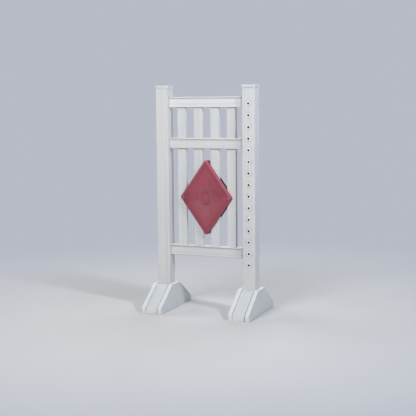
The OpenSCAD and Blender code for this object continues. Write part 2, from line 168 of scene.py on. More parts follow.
def holeReach(tree, axes, holes):
    # distance from the axis of the nearest pin hole, looking along Y
    up = mathNode(tree, "SUBTRACT", axes["Z"], holes["low"])
    number = mathNode(tree, "ROUND", mathNode(tree, "DIVIDE", up, holes["pitch"]))
    number = mathNode(tree, "MINIMUM", either(tree, number, 0.0), holes["count"] - 1.0)
    step = mathNode(tree, "MULTIPLY_ADD", number, -holes["pitch"], up)
    return crossLength(tree, step, mathNode(tree, "SUBTRACT", axes["X"], holes["x"]))


# Finishes: shades are in sRGB, lengths in metres and waves per metre; a spread has the two values
# between which something sets in, and what it then goes from and to, if that isn't nought and one

vinylLook = {
    "cool": (0.862, 0.866, 0.874), "warm": (0.886, 0.881, 0.874), "streak": (0.80, 0.81, 0.815),
    "scuff": (0.70, 0.71, 0.70), "wearAndLightShare": (0.62, 0.63, 0.62), "paintedShading": (0.47, 0.48, 0.46),
    "lineSpacing": 0.004, "lineLength": 0.9, "lineDepth": 0.00006, "waveDepth": 0.0006,
    "streakSpacing": 0.013, "streakLength": 2.4,
    "slow": {"waves": (5.0, 5.0, 3.0), "detail": 2.0},
    "marks": {"waves": (70.0, 70.0, 22.0), "detail": 5.0, "rough": 0.62},
    "toneSpread": (0.3, 0.7), "streakSpread": (0.42, 0.72, 0.0, 0.4),
    "scuffSpread": (0.66, 0.8, 0.0, 0.35), "paintedShadingSpread": (0.35, 0.6, 0.6, 1.0),
    "rubReach": 0.034, "rubShare": 0.5, "wearAndHighlightSpread": (0.4, 0.65), "rubFace": (0.003, -0.001),
    "glossSpread": (0.35, 0.65, 0.40, 0.50), "lineGloss": 0.5, "markGloss": 0.5, "specular": 0.42,
}


def vinylFinish(name, along, holes=None, seams=(), lift=0.0):
    # satin extruded vinyl: die lines and faint streaks run along one axis, with slow waves and
    # pale scuffs; painted shade lies along the seams, and a piece is made whiter by the lift
    look = vinylLook
    material, tree, shader, place, axes = startFinish(name)
    lines = drawnNoise(tree, place, look["lineSpacing"], look["lineLength"], along)
    streaks = drawnNoise(tree, place, look["streakSpacing"], look["streakLength"], along)
    slow = noiseField(tree, place, **look["slow"])
    marks = noiseField(tree, place, **look["marks"])
    cool, warm = np.add(look["cool"], lift), np.add(look["warm"], lift)
    tone = tint(tree, remap(tree, slow, *look["toneSpread"]), toLinear(cool), warm)
    tone = tint(tree, remap(tree, streaks, *look["streakSpread"]), tone, look["streak"])
    tone = tint(tree, remap(tree, marks, *look["scuffSpread"]), tone, look["scuff"])
    if holes:  # grey rub marks where cup brackets slide against the post, around every hole
        reach = holeReach(tree, axes, holes)
        ring = remap(tree, reach, look["rubReach"], holes["radius"], 0.0, look["rubShare"])
        front = remap(tree, axes["Y"], *(off - holes["face"] for off in look["rubFace"]))
        broken = remap(tree, marks, *look["wearAndHighlightSpread"])
        tone = tint(tree, times(tree, times(tree, ring, front), broken), tone, look["wearAndLightShare"])
    # painted shade along the seams, where shadows fall
    if seams:
        broken = remap(tree, marks, *look["paintedShadingSpread"])
        tone = tint(tree, times(tree, shadeLines(tree, axes, seams), broken), tone, look["paintedShading"])
    dull = mathNode(tree, "ADD", times(tree, lines, look["lineGloss"]),
                    times(tree, marks, look["markGloss"]))
    gloss = remap(tree, dull, *look["glossSpread"])
    coverWith(tree, shader, tone, gloss, look["specular"])
    relief = mathNode(tree, "MULTIPLY_ADD", lines, look["lineDepth"] / look["waveDepth"], slow)
    bumpOn(tree, shader, relief, look["waveDepth"])
    return material


boardLook = {
    "cool": (0.85, 0.86, 0.876), "warm": (0.872, 0.874, 0.872), "cut": (0.935, 0.935, 0.93),
    "dust": (0.72, 0.71, 0.68), "paintedShade": (0.55, 0.55, 0.52), "scuff": (0.72, 0.73, 0.73),
    "grain": {"waves": (420.0, 420.0, 420.0), "detail": 2.0},
    "slow": {"waves": (7.0, 7.0, 7.0), "detail": 3.0},
    "marks": {"waves": (45.0, 45.0, 60.0), "detail": 6.0, "rough": 0.65},
    "toneSpread": (0.3, 0.7), "endSpread": (0.8, 0.95), "edgeSpread": (0.9, 0.3, 0.0, 0.6),
    "scuffSpread": (0.62, 0.78, 0.0, 0.3),
    "dustHeight": 0.05, "dustShare": 0.06, "dustSpread": (0.35, 0.7),
    "floorReach": 0.006, "floorShare": 0.35,
    "rightReach": (0.010, 0.004), "rightShare": 0.8, "leftReach": (0.003, 0.0), "leftShare": 0.5,
    "glossSpread": (0.3, 0.7, 0.44, 0.6), "specular": 0.36,
    "grainDepth": 0.00012, "markRise": 1.5,
}


def boardFinish(name, joint=None):
    # matt plastic board: a fine pebbled skin, painted lighter on faces turned along Y and on a
    # plate's edges, scuffs, and dust that thins out upwards from the ground; painted shade along a
    # ramp's long edges and at the floor
    look = boardLook
    material, tree, shader, place, axes = startFinish(name)
    grain = noiseField(tree, place, **look["grain"])
    slow = noiseField(tree, place, **look["slow"])
    marks = noiseField(tree, place, **look["marks"])
    warmth = remap(tree, slow, *look["toneSpread"])
    tone = tint(tree, warmth, toLinear(look["cool"]), look["warm"])
    normal = putNode(tree, "ShaderNodeTexCoord").outputs["Normal"]
    ways = putNode(tree, "ShaderNodeSeparateXYZ", {0: normal}).outputs
    # painted light: faces turned along Y, and a plate's edges all round, are painted lighter to
    # stand in for light falling on them
    cut = remap(tree, mathNode(tree, "ABSOLUTE", ways["Y"]), *look["endSpread"])
    if not joint:
        edge = remap(tree, mathNode(tree, "ABSOLUTE", ways["X"]), *look["edgeSpread"])
        cut = either(tree, cut, edge)
    tone = tint(tree, cut, tone, look["cut"])
    tone = tint(tree, remap(tree, marks, *look["scuffSpread"]), tone, look["scuff"])
    low = remap(tree, axes["Z"], look["dustHeight"], 0.0, 0.0, look["dustShare"])
    dusty = times(tree, low, remap(tree, marks, *look["dustSpread"]))
    tone = tint(tree, dusty, tone, look["dust"])
    # painted contact shade along the foot of every board
    floorLine = [("Z", 0.0, look["floorReach"], look["floorShare"])]
    tone = tint(tree, shadeLines(tree, axes, floorLine), tone, look["paintedShade"])
    if joint:  # places across a foot, from the middle of its post
        beyond = mathNode(tree, "SUBTRACT", mathNode(tree, "ABSOLUTE", axes["X"]), joint["x"])
        across = times(tree, mathNode(tree, "SIGN", axes["X"]), beyond)
        rightEdge = [joint["half"] - reach for reach in look["rightReach"]]
        leftEdge = [reach - joint["half"] for reach in look["leftReach"]]
        # painted shadow of the plates along a ramp's long edges, deeper beside the right plate
        right = remap(tree, across, *rightEdge, 0.0, look["rightShare"])
        left = remap(tree, across, *leftEdge, 0.0, look["leftShare"])
        tone = tint(tree, either(tree, left, right), tone, look["paintedShade"])
    coverWith(tree, shader, tone, remap(tree, marks, *look["glossSpread"]), look["specular"])
    relief = mathNode(tree, "MULTIPLY_ADD", marks, look["markRise"], grain)
    bumpOn(tree, shader, relief, look["grainDepth"])
    return material


roseLook = {
    "deep": (0.505, 0.212, 0.288), "rose": (0.645, 0.302, 0.352), "pale": (0.76, 0.375, 0.44),
    "faded": (0.70, 0.42, 0.46), "paleMiddle": (0.645, 0.385, 0.415), "paintedShade": (0.36, 0.14, 0.19),
    "hollow": (0.20, 0.085, 0.11),
    "grain": {"waves": (500.0, 500.0, 500.0), "detail": 1.0},
    "mottle": {"waves": (11.0, 11.0, 9.0), "detail": 3.0, "rough": 0.55},
    "marks": {"waves": (60.0, 60.0, 60.0), "detail": 6.0, "rough": 0.65},
    "tilt": (-0.165, -0.07, -0.15, 0.07), "toneSpread": (0.2, 0.62),
    "edgeSpread": (0.74, 0.9, 0.0, 0.35), "fadedSpread": (0.62, 0.8, 0.0, 0.3),
    "paleMiddleDrop": 0.04, "paleMiddleSpread": (0.75, 0.15, 0.0, 0.85),
    "paleMiddleMottle": (0.35, 0.6, 0.4, 1.0), "paleMiddleOval": (0.25, 1.0),
    "paintedShadeReach": 0.005, "paintedShadeOutside": 0.5, "paintedShadeInside": 0.3,
    "paintedShadeSpread": (0.3, 0.6, 0.35, 1.0), "wearAndHighlightSpread": (0.3, 0.7, 0.45, 0.95),
    "glossSpread": (0.3, 0.7, 0.42, 0.56), "specular": 0.4,
    "grainDepth": 0.00015, "sinkDepth": 0.0003, "sinkWidth": 0.007,
}


def roseFinish(name, ribs, oval):
    # matt moulded plastic: mottled rose, pebbled skin, sinks over the ribs, painted shade along the
    # oval rim, inside the shell and just inside the edges, and a painted highlight on the bevel
    # crests
    look = roseLook
    material, tree, shader, place, axes = startFinish(name)
    grain = noiseField(tree, place, **look["grain"])
    mottle = noiseField(tree, place, **look["mottle"])
    marks = noiseField(tree, place, **look["marks"])
    up = mathNode(tree, "SUBTRACT", axes["Z"], ribs["middle"])
    rise = mathNode(tree, "ABSOLUTE", up)
    side = mathNode(tree, "ABSOLUTE", axes["X"])
    # the colour is deeper in one side corner
    fresh = mathNode(tree, "ADD", mottle, remap(tree, axes["X"], *look["tilt"]))
    fresh = remap(tree, fresh, *look["toneSpread"])
    tone = tint(tree, fresh, toLinear(look["deep"]), look["rose"])
    # distance from the straight middle of the oval, to set against the rim's outer and inner foot
    past = either(tree, mathNode(tree, "SUBTRACT", rise, oval["straight"]), 0.0)
    away = crossLength(tree, past, axes["X"])
    # the shares of the half width and the half height, added: one at the edges of the diamond
    across = mathNode(tree, "DIVIDE", side, ribs["halfWidth"])
    spread = mathNode(tree, "ADD", across, mathNode(tree, "DIVIDE", rise, ribs["halfHeight"]))
    # painted shade: a deeper band just inside the edges of the diamond
    tone = tint(tree, remap(tree, spread, *look["edgeSpread"]), tone, look["deep"])
    # the same round a place below the middle, where the colour is paler
    below = mathNode(tree, "ADD", up, look["paleMiddleDrop"])
    below = mathNode(tree, "ABSOLUTE", mathNode(tree, "DIVIDE", below, ribs["halfHeight"]))
    paleMiddle = remap(tree, mathNode(tree, "ADD", across, below), *look["paleMiddleSpread"])
    paleMiddle = times(tree, paleMiddle, remap(tree, mottle, *look["paleMiddleMottle"]))
    beyondRim = remap(tree, away, oval["inner"], oval["outer"], *look["paleMiddleOval"])
    tone = tint(tree, times(tree, paleMiddle, beyondRim), tone, look["paleMiddle"])
    tone = tint(tree, remap(tree, marks, *look["fadedSpread"]), tone, look["faded"])
    # painted shade round the outer and inner foot of the oval rim
    feet = [remap(tree, offFrom(tree, away, oval[foot]), look["paintedShadeReach"], 0.0, 0.0, look[share])
            for foot, share in (("outer", "paintedShadeOutside"), ("inner", "paintedShadeInside"))]
    paintedShading = times(tree, either(tree, *feet), remap(tree, marks, *look["paintedShadeSpread"]))
    tone = tint(tree, paintedShading, tone, look["paintedShade"])
    # above nought: a painted highlight on the crests of the bevels; below nought: painted shade
    # inside the shell
    wearAndPaintedLight = putNode(tree, "ShaderNodeAttribute", attribute_name="wearAndPaintedLight").outputs["Fac"]
    wearAndLightShare = times(tree, either(tree, wearAndPaintedLight, 0.0), remap(tree, marks, *look["wearAndHighlightSpread"]))
    # painted highlight on the crests of the bevels
    tone = tint(tree, wearAndLightShare, tone, look["pale"])
    # painted shade inside the shell
    hollow = times(tree, mathNode(tree, "MINIMUM", wearAndPaintedLight, 0.0), -1.0)
    tone = tint(tree, hollow, tone, look["hollow"])
    coverWith(tree, shader, tone, remap(tree, marks, *look["glossSpread"]), look["specular"])
    level = mathNode(tree, "WRAP", up, ribs["pitch"] / 2, -ribs["pitch"] / 2)
    level = mathNode(tree, "ABSOLUTE", level)
    nearest = mathNode(tree, "MINIMUM", level, offFrom(tree, side, ribs["x"]))
    sink = remap(tree, nearest, 0.0, look["sinkWidth"])
    relief = mathNode(tree, "MULTIPLY_ADD", grain, look["grainDepth"] / look["sinkDepth"], sink)
    bumpOn(tree, shader, relief, look["sinkDepth"])
    return material


nylonLook = {
    "white": (0.958, 0.96, 0.95), "worn": (0.87, 0.87, 0.85), "bore": (0.12, 0.12, 0.125),
    "marks": {"waves": (160.0, 160.0, 160.0), "detail": 4.0, "rough": 0.6},
    "wornSpread": (0.52, 0.75, 0.0, 0.6), "stainAndShadeReach": (0.0006, 0.0001),
    "glossSpread": (0.3, 0.7, 0.2, 0.34), "specular": 0.5,
}


def nylonFinish(name, holes):
    # smooth white nylon, dark inside the bore: painted shade in the recess, with stain from steel
    # pins
    look = nylonLook
    material, tree, shader, place, axes = startFinish(name)
    marks = noiseField(tree, place, **look["marks"])
    worn = remap(tree, marks, *look["wornSpread"])
    tone = tint(tree, worn, toLinear(look["white"]), look["worn"])
    # painted shade in the bore, with pin stain
    stainAndShadeEdge = [holes["bore"] + reach for reach in look["stainAndShadeReach"]]
    stainAndShade = remap(tree, holeReach(tree, axes, holes), *stainAndShadeEdge)
    tone = tint(tree, stainAndShade, tone, look["bore"])
    coverWith(tree, shader, tone, remap(tree, marks, *look["glossSpread"]), look["specular"])
    return material


coatLook = {
    "white": {"coat": (0.875, 0.88, 0.878), "chip": (0.80, 0.81, 0.81)},
    "rose": {"coat": (0.75, 0.45, 0.50), "chip": (0.52, 0.53, 0.54)},
    "peel": {"waves": (600.0, 600.0, 600.0), "detail": 1.0},
    "marks": {"waves": (350.0, 350.0, 350.0), "detail": 4.0, "rough": 0.6},
    "chipSpread": (0.42, 0.6), "glossSpread": (0.3, 0.7, 0.26, 0.4), "specular": 0.5,
    "peelDepth": 0.00005,
}


def coatFinish(name, shade):
    # powder coat in one of two shades: orange peel, and chips down to the grey primer round the
    # driver's recess
    look = coatLook
    material, tree, shader, place = startFinish(name)[:4]
    peel = noiseField(tree, place, **look["peel"])
    marks = noiseField(tree, place, **look["marks"])
    driven = putNode(tree, "ShaderNodeAttribute", attribute_name="wearAndPaintedLight").outputs["Fac"]
    chips = times(tree, driven, remap(tree, marks, *look["chipSpread"]))
    tone = tint(tree, chips, toLinear(look[shade]["coat"]), look[shade]["chip"])
    coverWith(tree, shader, tone, remap(tree, marks, *look["glossSpread"]), look["specular"])
    bumpOn(tree, shader, peel, look["peelDepth"])
    return material


# Surfaces on grids

def gridFaces(rows, columns, closedRows=False):
    # the four corners of each cell of a grid whose columns go all round; closed rows join as well
    r = np.arange(rows if closedRows else rows - 1)[:, None]
    c = np.arange(columns)[None, :]
    nextR, nextC = (r + 1) % rows, (c + 1) % columns
    cells = [r * columns + c, r * columns + nextC, nextR * columns + nextC, nextR * columns + c]
    return np.stack(cells, axis=-1).reshape(-1, 4)


def manyGrids(points, closedRows=False):
    # points of shape copies, rows, columns, 3 become one list of corners and one of cells
    copies, rows, columns = points.shape[:3]
    cells = gridFaces(rows, columns, closedRows)
    shift = np.arange(copies)[:, None, None] * rows * columns
    return points.reshape(-1, 3), (cells[None] + shift).reshape(-1, 4)


def makePiece(name, parts, finish, nodes, sharpAngle=0.6, wearAndPaintedLight=None):
    # one object from several surfaces, each a pair of corners and cells; poles and seams merge
    # where corners agree to eight decimals
    starts = np.cumsum([0] + [len(corners) for corners, cells in parts])
    corners = np.concatenate([p for p, c in parts])
    cells = np.concatenate([c + s for (p, c), s in zip(parts, starts)])
    kept, where = np.unique(np.round(corners, 8), axis=0, return_inverse=True)
    first = np.zeros(len(kept), int)
    first[where.ravel()] = np.arange(len(corners))
    cells = where.ravel()[cells].tolist()
    mesh = bpy.data.meshes.new(name)
    mesh.from_pydata(kept, [], [list(dict.fromkeys(c)) for c in cells if len(set(c)) > 2])
    if wearAndPaintedLight is not None:
        wearAndLightValues = mesh.attributes.new("wearAndPaintedLight", "FLOAT", "POINT")
        wearAndLightValues.data.foreach_set("value", wearAndPaintedLight.ravel()[first])
    mesh.validate()
    mesh.shade_smooth()
    mesh.set_sharp_from_angle(angle=sharpAngle)
    mesh.materials.append(finish)
    piece = bpy.data.objects.new(name, mesh)
    scene.collection.objects.link(piece)
    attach(piece, "root")
    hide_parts(*nodes)
    print(name, "-", len(mesh.polygons), "faces")


def unitRows(v):
    # each row over its own length, where it has one
    return v / np.maximum(np.linalg.norm(v, axis=-1, keepdims=True), 1e-12)


def roundedPath(corners, radii, closed=False, steps=5):
    # a line in a plane in which each corner gives way to an arc of its radius that touches both
    # sides
    corners, radii = np.array(corners, float), np.array(radii, float)[:, None]
    before, after = np.roll(corners, 1, axis=0), np.roll(corners, -1, axis=0)
    if not closed:  # the ends run straight on
        before[0], after[-1] = 2 * corners[0] - corners[1], 2 * corners[-1] - corners[-2]
    back, ahead = unitRows(before - corners), unitRows(after - corners)
    half = np.arccos(np.clip((back * ahead).sum(-1, keepdims=True), -1, 1)) / 2
    middle = corners + unitRows(back + ahead) * radii / np.sin(half)
    spoke = corners + back * radii / np.tan(half) - middle
    last = corners + ahead * radii / np.tan(half) - middle
    cross = spoke[:, 0] * last[:, 1] - spoke[:, 1] * last[:, 0]
    turn = np.arctan2(cross, (spoke * last).sum(-1))
    angle = turn[:, None, None] * np.linspace(0.0, 1.0, steps + 1)[None, :, None]
    across = np.stack([-spoke[:, 1], spoke[:, 0]], axis=-1)
    arcs = middle[:, None] + np.cos(angle) * spoke[:, None] + np.sin(angle) * across[:, None]
    return arcs.reshape(-1, 2)


def outwardWays(angle):
    # a unit vector at each angle
    return np.stack([np.cos(angle), np.sin(angle)], axis=-1)


def roundOutline(centres, arcSteps, sideSteps):
    # round a convex outline from the centres of its corner arcs: points on the centre line, and
    # outward ways
    centres = np.array(centres, float)
    sides = np.roll(centres, -1, axis=0) - centres
    way = np.arctan2(sides[:, 1], sides[:, 0])
    first = np.roll(way, 1)
    turned = np.concatenate([np.linspace(0, 1, arcSteps + 1), np.ones(sideSteps - 1)])
    along = np.concatenate([np.zeros(arcSteps + 1), np.linspace(0, 1, sideSteps + 1)[1:-1]])
    angle = first[:, None] - np.pi / 2 + np.mod(way - first, 2 * np.pi)[:, None] * turned[None]
    spine = centres[:, None] + along[None, :, None] * sides[:, None]
    return spine.reshape(-1, 2), outwardWays(angle).reshape(-1, 2)


def withHeights(flat, heights):
    # flat rings, each lifted to its own height
    lifted = np.broadcast_to(np.array(heights, float)[:, None, None], flat.shape[:2] + (1,))
    return np.concatenate([flat, lifted], axis=-1)


def ringStack(spine, outward, rows):
    # rows of share, reach and height: each ring is the centre line shrunk to a share and grown by
    # a reach
    share, reach, height = np.array(rows, float).T
    flat = share[:, None, None] * spine[None] + reach[:, None, None] * outward[None]
    return withHeights(flat, height)


def circleAngles(columns):
    # evenly spaced over a full turn
    return 2 * np.pi * np.arange(columns) / columns


def turnedRows(profile, columns):
    # a profile of radius and height carried once round the axis
    ways = outwardWays(circleAngles(columns))
    rows = np.column_stack([np.ones(len(profile)), profile])
    return ringStack(np.zeros_like(ways), ways, rows)


facing = {  # where a piece's own X, Y and Z point when its Z faces each way
    "front": ((1, 0, 0), (0, 0, 1), (0, -1, 0)), "rear": ((-1, 0, 0), (0, 0, 1), (0, 1, 0)),
    "right": ((0, 1, 0), (0, 0, 1), (1, 0, 0)), "left": ((0, -1, 0), (0, 0, 1), (-1, 0, 0)),
    "up": ((1, 0, 0), (0, 1, 0), (0, 0, 1)),
}


def placed(points, spots, ways):
    # copies of a surface of shape rows, columns, 3 at several spots, each turned to face one way
    turns = np.array([facing[w] for w in ways], float)
    return np.array(spots, float)[:, None, None] + np.einsum("rck,nkj->nrcj", points, turns)


# Where things are, from the frame

postLow, postHigh = np.array(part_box("right_post"))
postX = (postLow[0] + postHigh[0]) / 2
postHalf = (postHigh[0] - postLow[0]) / 2
bores = [mount for mount in record["mounts"] if mount["kind"] == "bore"]
boreHeights = np.array(sorted(bore["pos_m"][2] for bore in bores))
boreRadius = bores[0]["dims"]["r_mm"] / 1000.0
sleeveLow, sleeveHigh = np.array(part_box("pin_sleeves"))
holePlan = {
    "low": float(boreHeights[0]), "pitch": float(boreHeights[1] - boreHeights[0]),
    "count": float(len(bores)), "x": float(postX), "face": float(postHalf),
    "bore": boreRadius, "radius": float(sleeveHigh[0] - sleeveLow[0]) / 2,
}
diamondLow, diamondHigh = np.array(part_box("front_diamond"))
slatLow, slatHigh = np.array(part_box("slat_3"))
ribPlan = {
    "middle": float(diamondLow[2] + diamondHigh[2]) / 2, "pitch": 0.08,
    "x": float(slatLow[0] + slatHigh[0]) / 2, "halfWidth": float(diamondHigh[0]),
    "halfHeight": float(diamondHigh[2] - diamondLow[2]) / 2,
}
ovalPlan = {"width": 0.060, "height": 0.096, "band": 0.011}
ovalPlan["outer"] = ovalPlan["width"] / 2
ovalPlan["inner"] = ovalPlan["outer"] - ovalPlan["band"]
ovalPlan["straight"] = (ovalPlan["height"] - ovalPlan["width"]) / 2

# painted shade on the rails: a shadow under the bead, darker ends beside the posts with the right
# end in the right post's shadow, and a dark underside
railPlan = {  # each seam has the reach and the share of its painted shade
    "beadHeight": 0.0135, "bead": (0.006, 0.3), "leftJoint": (0.012, 0.3),
    "rightJoint": (0.026, 0.8), "under": (0.005, 0.4),
    "lift": {"top_rail": 0.04, "middle_rail": 0.0, "bottom_rail": 0.0},
}
railEnds = float(postX - postHalf)
railBoxes = {name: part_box(name) for name in ("top_rail", "middle_rail", "bottom_rail")}
railVinyl = {}
for name, box in railBoxes.items():
    railSeams = [
        ("Z", float(box[1][2]) - railPlan["beadHeight"], *railPlan["bead"]),
        ("X", -railEnds, *railPlan["leftJoint"]), ("X", railEnds, *railPlan["rightJoint"]),
        ("Z", float(box[0][2]), *railPlan["under"])]
    railVinyl[name] = vinylFinish(name.replace("_rail", "RailVinyl"), "X", seams=railSeams,
                                  lift=railPlan["lift"][name])
# painted shadows on the slats: under each rail, and on the side of slat_4 beside the right post
slatPlan = {"underRail": (0.009, 0.7), "besidePost": (0.0015, 0.85)}
slatSeams = [("Z", float(box[0][2]), *slatPlan["underRail"]) for box in railBoxes.values()]
slatSeams.append(("X", float(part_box("slat_4")[1][0]), *slatPlan["besidePost"]))
slatVinyl = vinylFinish("slatVinyl", "Z", seams=slatSeams)
uprightVinyl = vinylFinish("uprightVinyl", "Z")
holedVinyl = vinylFinish("holedVinyl", "Z", holePlan)
capVinyl = vinylFinish("capVinyl", "X")
footBoard = boardFinish("footBoard")
rampBoard = boardFinish("rampBoard", {"x": float(postX), "half": float(postHalf)})
roseMoulding = roseFinish("roseMoulding", ribPlan, ovalPlan)
whiteNylon = nylonFinish("whiteNylon", holePlan)
whiteCoat = coatFinish("whiteCoat", "white")
roseCoat = coatFinish("roseCoat", "rose")

nodeFinishes = {
    "left_post": uprightVinyl, "right_post": holedVinyl, **railVinyl,
    "slat_1": slatVinyl, "slat_2": slatVinyl, "slat_3": slatVinyl, "slat_4": slatVinyl,
    "left_post_cap": capVinyl, "right_post_cap": capVinyl,
    "front_diamond": roseMoulding, "rear_diamond": roseMoulding, "pin_sleeves": whiteNylon,
    "diamond_bolts": roseCoat, "diamond_sleeve_nuts": roseCoat,
}
for name, node in frame["nodes"].items():
    board = rampBoard if name.endswith("_ramp") else footBoard
    finish = nodeFinishes.get(name, board if "_foot_" in name else whiteCoat)
    for materialSlot in node.material_slots:
        materialSlot.material = finish
print("finishes on the frame's nodes")


# Pin sleeves

sleevePlan = {
    "wall": 0.002, "flange": 0.0016, "lip": 0.0008, "mouth": 0.001, "edge": 0.0003, "columns": 64,
}


def sleeveProfile(plan, bore, flange, length):
    # radius and height round a flanged tube: up its outside, out and over the flange, down the bore
    tube, tubeEnd = bore + plan["wall"], length - plan["flange"]
    corners = [(tube, 0), (tube, tubeEnd), (flange, tubeEnd), (flange, length), (bore, length),
               (bore, 0)]
    edge = plan["edge"]
    return roundedPath(corners, [edge, 0, edge, plan["lip"], plan["mouth"], edge], closed=True)


profile = sleeveProfile(sleevePlan, boreRadius, holePlan["radius"], sleeveHigh[1] - sleeveLow[1])
spots = [(postX, sleeveHigh[1], height) for height in boreHeights]
sleeves = placed(turnedRows(profile, sleevePlan["columns"]), spots, ["front"] * len(bores))
makePiece("pinSleeves", [manyGrids(sleeves, closedRows=True)], whiteNylon,
          ["pin_sleeves"])


# Post caps

capPlan = {
    "corner": 0.009, "edge": 0.003, "crown": 0.0007, "skirt": 0.0037, "top": 0.005, "lip": 0.0006,
    "plug": 0.03965, "collarWall": 0.003, "collarDepth": 0.012,
    "arcSteps": 8, "sideSteps": 6, "topRings": 6,
}


def capRows(plan, half, height):
    # from the underside of the top out over the collar and skirt, up the side and in to the middle
    corner, crownFoot = plan["corner"], height - plan["crown"]
    spineHalf = half - corner
    under, collarEnd = height - plan["top"], height - plan["top"] - plan["collarDepth"]
    share = (plan["plug"] - plan["collarWall"]) / spineHalf
    reach = plan["plug"] - spineHalf
    hidden = [(0, 0, under), (share, 0, under), (share, 0, collarEnd), (1, reach, collarEnd),
              (1, reach, under)]
    skirtReach = corner - plan["skirt"]
    side = roundedPath([(skirtReach, under), (skirtReach, 0), (corner, 0), (corner, crownFoot),
                        (0, crownFoot)], [0, 0, plan["lip"], plan["edge"], 0])
    s = np.linspace(1, 0, plan["topRings"])[1:]
    crown = height - plan["crown"] * s ** 2  # the crown falls as the square of the share
    top = np.stack([s, 0 * s, crown], axis=-1)
    return np.concatenate([hidden, np.insert(side, 0, 1, axis=1), top])


for side in ("left", "right"):
    low, high = np.array(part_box(side + "_post_cap"))
    half = (high[0] - low[0]) / 2
    m = half - capPlan["corner"]
    outline = roundOutline([(m, -m), (m, m), (-m, m), (-m, -m)], capPlan["arcSteps"],
                           capPlan["sideSteps"])
    rings = ringStack(*outline, capRows(capPlan, half, high[2] - low[2]))
    cap = placed(rings, [((low[0] + high[0]) / 2, 0.0, low[2])], ["up"])
    makePiece(side + "PostCap", [manyGrids(cap)], capVinyl, [side + "_post_cap"])


# Diamond shells

diamondPlan = {
    "depth": 0.020, "wall": 0.004, "corner": 0.014, "bevelWidth": 0.010, "bevelDrop": 0.0075,
    "ease": 0.0011, "rimEase": 0.0011 / 3, "crown": 0.0004, "faceRings": 8, "arcSteps": 10,
    "sideSteps": 16, "highlightFade": 0.003, "highlightLeast": 0.25, "highlightLevel": 0.6, "hollow": -0.9,
    "ovalRise": 0.003, "ovalSunk": 0.0008, "ovalSteps": 14, "ovalArcSteps": 32, "ovalSideSteps": 10,
    "ribThick": 0.003, "ribRows": 2, "boss": 0.009, "bossBore": 0.0049, "bossColumns": 48,
}
diamondBoltPlan = {
    "head": 0.0065, "height": 0.003, "rim": 0.0006, "flat": 0.003, "shank": 0.0025, "length": 0.03,
}


def bevelSlant(plan):
    # the bevel's angle from the face
    return np.arctan2(plan["bevelDrop"], plan["bevelWidth"])


def shellRows(plan):
    # from the middle of the inner face out to the wall, down to the back rim, up the side, bevel
    # and face
    depth, wall, corner, ease = plan["depth"], plan["wall"], plan["corner"], plan["ease"]
    width, drop, slant = plan["bevelWidth"], plan["bevelDrop"], bevelSlant(plan)
    innerReach = corner - width - wall * np.tan(slant / 2)
    innerHeight = depth - drop - wall * np.tan(np.pi / 4 - slant / 2)
    path = roundedPath(
        [(0, depth - wall), (innerReach, depth - wall), (corner - wall, innerHeight),
         (corner - wall, 0), (corner, 0), (corner, depth - drop), (corner - width, depth),
         (0, depth)], [0, ease, ease, 0, plan["rimEase"], ease, ease, 0])
    s = np.linspace(1, 0, plan["faceRings"])[1:]
    crown = depth + plan["crown"] * (1 - s ** 2)  # a parabola over the face
    face = np.stack([s, 0 * s, crown], axis=-1)
    return np.concatenate([[(0, 0, depth - wall)], np.insert(path, 0, 1, axis=1), face])


def paintedLightGrid(plan, rows, outward):
    # the painted highlight is full on the crest of the bevel, thins out over the face, the bevel
    # and the side, and is less on the lower edges, which the light reaches less; the inside, up to
    # the back rim, counts below nought for painted shade
    reach, height = rows[:, 1], rows[:, 2]
    fromCrest = reach - plan["corner"] + plan["bevelWidth"]
    below = height - plan["depth"] + plan["ease"] / 2
    bevel = np.clip(fromCrest / plan["highlightFade"] + 1, 0, 1)
    side = np.clip(1 + below / plan["bevelDrop"], plan["highlightLeast"], 1)
    upperLit = np.clip(plan["highlightLevel"] + outward[:, 1], plan["highlightLeast"], 1)
    wearAndLightShare = (bevel * side)[:, None] * upperLit[None]
    wearAndLightShare[:np.argmax(reach >= plan["corner"] - 1e-9)] = plan["hollow"]
    return wearAndLightShare


def ribPlate(plan, half, run):
    # length, height and thickness of a plate whose upper corners slope like the bevel: two rings
    # of its six-cornered outline, and two more that shrink to points and close its faces
    slant, middleWall = bevelSlant(plan), plan["wall"] / 2
    rise = plan["depth"] - middleWall
    edge = plan["depth"] - plan["bevelDrop"] - middleWall * np.tan(np.pi / 4 - slant / 2)
    inner = half - run * (rise - edge) / np.tan(slant)
    outline = np.array([(-half, 0), (half, 0), (half, edge), (inner, rise), (-inner, rise),
                        (-half, edge)])
    middle, thick = np.array([0, rise / 2]), plan["ribThick"] / 2
    rings = ringStack(outline - middle, 0 * outline,
                      [(0, 0, -thick), (1, 0, -thick), (1, 0, thick), (0, 0, thick)])
    rings[..., :2] += middle
    return np.moveaxis(rings, -1, 0)


def ovalRim(plan):
    # an arc of a circle over the band, carried round the oval and closed under the face
    reach, rise, straight = ovalPlan["band"] / 2, plan["ovalRise"], ovalPlan["straight"]
    arch = (reach ** 2 + rise ** 2) / (2 * rise)
    t = np.linspace(reach, -reach, plan["ovalSteps"])
    height = plan["depth"] + rise - arch + np.sqrt(arch ** 2 - t ** 2)
    t = np.concatenate([t, [-reach, reach]])
    height = np.concatenate([height, np.full(2, plan["depth"] - plan["ovalSunk"])])
    line = roundOutline([(0, -straight), (0, straight)], plan["ovalArcSteps"],
                        plan["ovalSideSteps"])
    return ringStack(*line, np.stack([0 * t + 1, ovalPlan["outer"] - reach + t, height], axis=-1))


